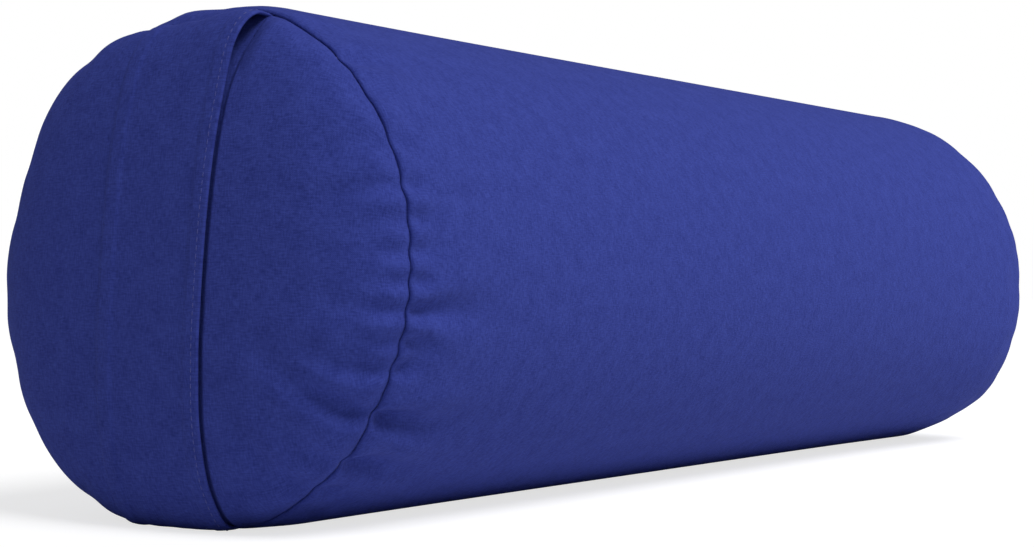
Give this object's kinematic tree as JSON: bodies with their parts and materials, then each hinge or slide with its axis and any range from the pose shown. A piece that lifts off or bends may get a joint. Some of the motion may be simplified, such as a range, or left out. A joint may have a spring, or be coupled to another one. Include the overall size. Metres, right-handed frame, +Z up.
{
  "type": "round bolster pillow",
  "caption": "Round massage and yoga bolster: a firm stuffed inner cushion in a removable cotton cover with an envelope closure in one end.",
  "frame": {"origin": "on the surface that the pillow lies on, under the middle of its length and width", "axes": "+Y along the bolster's axis, away from the end with the envelope closure; +Z up"},
  "size_m": [0.23, 0.7616, 0.2264],
  "materials": {
    "cover_cotton": "matt royal blue cotton twill with slight heathering",
    "cover_thread": "blue sewing thread, a little darker than the cloth",
    "liner_muslin": "unbleached cotton muslin",
    "liner_thread": "natural cotton thread",
    "cotton_batting": "loose carded cotton"
  },
  "bodies": {
    "cover": {"closure_underlap_panel": "cover_cotton", "cover_body": "cover_cotton", "cover_side_seam_thread": "cover_thread", "far_end_filling_pad": "cotton_batting", "far_end_overlock": "cover_thread", "far_end_panel": "cover_cotton", "far_end_seam_thread": "cover_thread", "filling_core_roll": "cotton_batting", "filling_outer_wrap": "cotton_batting", "liner_body": "liner_muslin", "liner_closing_stitch": "liner_thread", "liner_far_end": "liner_muslin", "liner_far_seam_thread": "liner_thread", "liner_near_end": "liner_muslin", "liner_near_seam_thread": "liner_thread", "liner_side_seam_thread": "liner_thread", "near_end_filling_pad": "cotton_batting", "near_end_overlock": "cover_thread", "near_end_seam_thread": "cover_thread", "underlap_hem_stitching": "cover_thread"},
    "overlap_flap": {"closure_overlap_panel": "cover_cotton", "overlap_hem_stitching": "cover_thread"}
  },
  "joints": [
    {"name": "overlap_lift", "type": "hinge", "parent": "cover", "child": "overlap_flap", "pos_m": [-0.11, -0.3439, 0.1114], "axis": [0, 0, -1], "range_deg": [0, 20], "stiffness_Nm_per_rad": 0.02}
  ]
}
